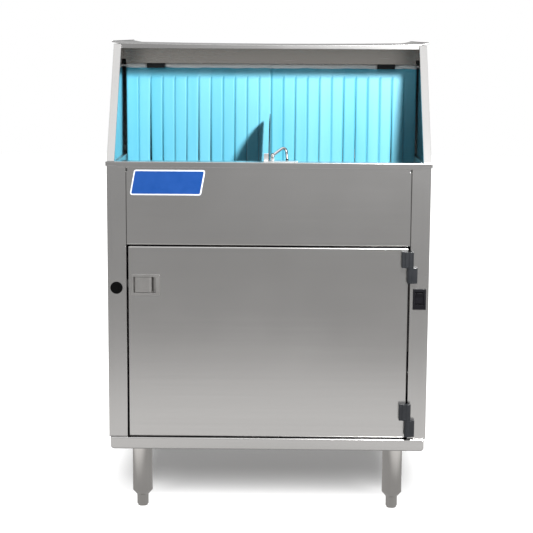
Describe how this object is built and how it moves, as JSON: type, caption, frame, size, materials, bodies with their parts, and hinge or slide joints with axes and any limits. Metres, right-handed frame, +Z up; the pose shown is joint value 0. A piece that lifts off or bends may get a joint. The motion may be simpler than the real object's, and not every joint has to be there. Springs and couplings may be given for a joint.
{
  "type": "glass washer machine",
  "caption": "Free-standing rotary glass washer: stainless cabinet on legs with a sloping open hood, strip curtain, turning carousel, wash tank and a service door.",
  "frame": {"origin": "on the floor under the middle of the machine", "axes": "+Z up, the front with door and hood opening faces -Y, +X to the right seen from the front"},
  "size_m": [0.656, 0.644, 0.965],
  "materials": {
    "brushed_stainless": "brushed stainless sheet",
    "polished_stainless": "drawn and polished stainless",
    "black_plastic": "black moulded plastic",
    "moulded_grey_plastic": "grey moulded plastic",
    "pipe_plastic": "light grey pipe",
    "motor_paint": "dark painted aluminium housing",
    "valve_brass": "cast brass",
    "badge_face": "blue face with a pale border, blank",
    "blue_vinyl": "light blue flexible vinyl"
  },
  "bodies": {
    "cabinet": {"left_side_panel": "brushed_stainless", "right_side_panel": "brushed_stainless", "back_panel": "brushed_stainless", "front_apron": "brushed_stainless", "counter_ledge": "brushed_stainless", "hood_top": "brushed_stainless", "hood_header": "brushed_stainless", "base_pan": "brushed_stainless", "badge_plate": "badge_face", "hole_plug": "black_plastic", "back_screws": "polished_stainless", "leg_tubes": "polished_stainless", "wash_tank": "brushed_stainless", "scrap_screen": "brushed_stainless", "tank_heater": "polished_stainless", "drain_pipe": "pipe_plastic", "shaft_bearings": "moulded_grey_plastic", "gearmotor": "motor_paint", "wash_arms": "polished_stainless", "rinse_arms": "polished_stainless", "wash_riser": "polished_stainless", "rinse_riser": "polished_stainless", "rinse_valve": "valve_brass", "suction_pipe": "pipe_plastic", "discharge_pipe": "pipe_plastic", "pump_motor": "motor_paint", "pump_bracket": "brushed_stainless", "pump_housing": "moulded_grey_plastic", "control_box": "brushed_stainless", "switch_bezel": "black_plastic", "dispenser_bracket": "brushed_stainless", "dispenser_heads": "moulded_grey_plastic", "cable_gland": "black_plastic", "curtain_rod": "polished_stainless", "curtain_clips": "black_plastic", "stop_arm_bracket": "brushed_stainless", "divider_fin": "black_plastic", "hinge_frame_leaves": "black_plastic", "hinge_pins": "polished_stainless"},
    "door": {"door_panel": "brushed_stainless", "hinge_door_leaves": "black_plastic", "latch_cup": "polished_stainless"},
    "latch_pull": {"latch_paddle": "polished_stainless"},
    "latch_tongue": {"latch_bolt": "polished_stainless"},
    "rocker": {"power_rocker": "black_plastic"},
    "carousel": {"drive_shaft": "polished_stainless", "carousel_rack": "moulded_grey_plastic"},
    "impeller": {"pump_impeller": "moulded_grey_plastic"},
    "rotor_1": {"dispenser_rotor_1": "moulded_grey_plastic"},
    "rotor_2": {"dispenser_rotor_2": "moulded_grey_plastic"},
    "rotor_3": {"dispenser_rotor_3": "moulded_grey_plastic"},
    "standpipe": {"overflow_standpipe": "polished_stainless"},
    "curtain_left_flap": {"curtain_left": "blue_vinyl"},
    "curtain_right_flap": {"curtain_right": "blue_vinyl"},
    "stop_arm_body": {"stop_arm": "polished_stainless", "stop_arm_hub": "black_plastic"},
    "foot_fl": {"foot_front_left": "polished_stainless"},
    "foot_fr": {"foot_front_right": "polished_stainless"},
    "foot_rl": {"foot_rear_left": "polished_stainless"},
    "foot_rr": {"foot_rear_right": "polished_stainless"}
  },
  "joints": [
    {"name": "door_swing", "type": "hinge", "parent": "cabinet", "child": "door", "pos_m": [0.2855, -0.3156, 0.36], "axis": [0, 0, 1], "range_deg": [0, 170]},
    {"name": "latch_pull_hinge", "type": "hinge", "parent": "door", "child": "latch_pull", "pos_m": [-0.2684, -0.3, 0.4784], "axis": [0, 0, -1], "range_deg": [0, 35], "stiffness_Nm_per_rad": 0.05, "springref_deg": -5.73},
    {"name": "latch_tongue_slide", "type": "slide", "parent": "door", "child": "latch_tongue", "axis": [1, 0, 0], "range_m": [0, 0.006]},
    {"name": "rocker_tip", "type": "hinge", "parent": "cabinet", "child": "rocker", "pos_m": [0.3057, -0.302, 0.4549], "axis": [-1, 0, 0], "range_deg": [0, 14]},
    {"name": "carousel_turn", "type": "hinge", "parent": "cabinet", "child": "carousel", "pos_m": [0, 0, 0.66], "axis": [0, 0, -1], "continuous": true},
    {"name": "impeller_spin", "type": "hinge", "parent": "cabinet", "child": "impeller", "pos_m": [0, 0.06, 0.27], "axis": [1, 0, 0], "continuous": true},
    {"name": "rotor_1_turn", "type": "hinge", "parent": "cabinet", "child": "rotor_1", "pos_m": [-0.205, -0.155, 0.48], "axis": [0, -1, 0], "continuous": true},
    {"name": "rotor_2_turn", "type": "hinge", "parent": "cabinet", "child": "rotor_2", "pos_m": [-0.14, -0.155, 0.48], "axis": [0, -1, 0], "continuous": true},
    {"name": "rotor_3_turn", "type": "hinge", "parent": "cabinet", "child": "rotor_3", "pos_m": [-0.075, -0.155, 0.48], "axis": [0, -1, 0], "continuous": true},
    {"name": "standpipe_lift", "type": "slide", "parent": "cabinet", "child": "standpipe", "axis": [0, 0, 1], "range_m": [0, 0.14]},
    {"name": "curtain_left_swing", "type": "hinge", "parent": "cabinet", "child": "curtain_left_flap", "pos_m": [-0.15, 0.033, 0.911], "axis": [1, 0, 0], "range_deg": [-15, 15]},
    {"name": "curtain_right_swing", "type": "hinge", "parent": "cabinet", "child": "curtain_right_flap", "pos_m": [0.15, 0.033, 0.911], "axis": [1, 0, 0], "range_deg": [-15, 15]},
    {"name": "stop_arm_swing", "type": "hinge", "parent": "cabinet", "child": "stop_arm_body", "pos_m": [0.0072, -0.2817, 0.7395], "axis": [0, 1, 0], "range_deg": [0, 12], "stiffness_Nm_per_rad": 0.15, "springref_deg": -8.59},
    {"name": "foot_fl_screw", "type": "slide", "parent": "cabinet", "child": "foot_fl", "axis": [0, 0, -1], "range_m": [0, 0.025]},
    {"name": "foot_fr_screw", "type": "slide", "parent": "cabinet", "child": "foot_fr", "axis": [0, 0, -1], "range_m": [0, 0.025]},
    {"name": "foot_rl_screw", "type": "slide", "parent": "cabinet", "child": "foot_rl", "axis": [0, 0, -1], "range_m": [0, 0.025]},
    {"name": "foot_rr_screw", "type": "slide", "parent": "cabinet", "child": "foot_rr", "axis": [0, 0, -1], "range_m": [0, 0.025]}
  ],
  "couplings": [
    {"joint": "latch_tongue_slide", "follows": "latch_pull_hinge", "m_per_rad": 0.0098}
  ]
}
